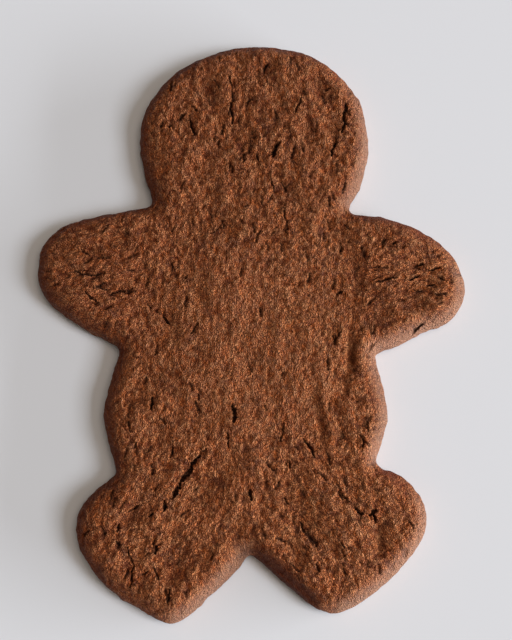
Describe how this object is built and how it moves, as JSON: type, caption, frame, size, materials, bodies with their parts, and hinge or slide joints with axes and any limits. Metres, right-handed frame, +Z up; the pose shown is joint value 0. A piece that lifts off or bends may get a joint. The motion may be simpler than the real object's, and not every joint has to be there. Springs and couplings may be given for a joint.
{
  "type": "gingerbread man cookie",
  "caption": "Flat baked gingerbread cookie in the plain outline of a person, with a rounded shoulder, a cracked top and a flat underside.",
  "frame": {"origin": "on the underside, at the middle of the cookie's length and width", "axes": "+Z up through the thickness, +Y from the feet towards the head, +X towards the right arm as seen from above"},
  "size_m": [0.0914, 0.125, 0.008],
  "materials": {
    "baked_gingerbread": null
  },
  "bodies": {
    "root": {"cookie": "baked_gingerbread"}
  },
  "joints": []
}
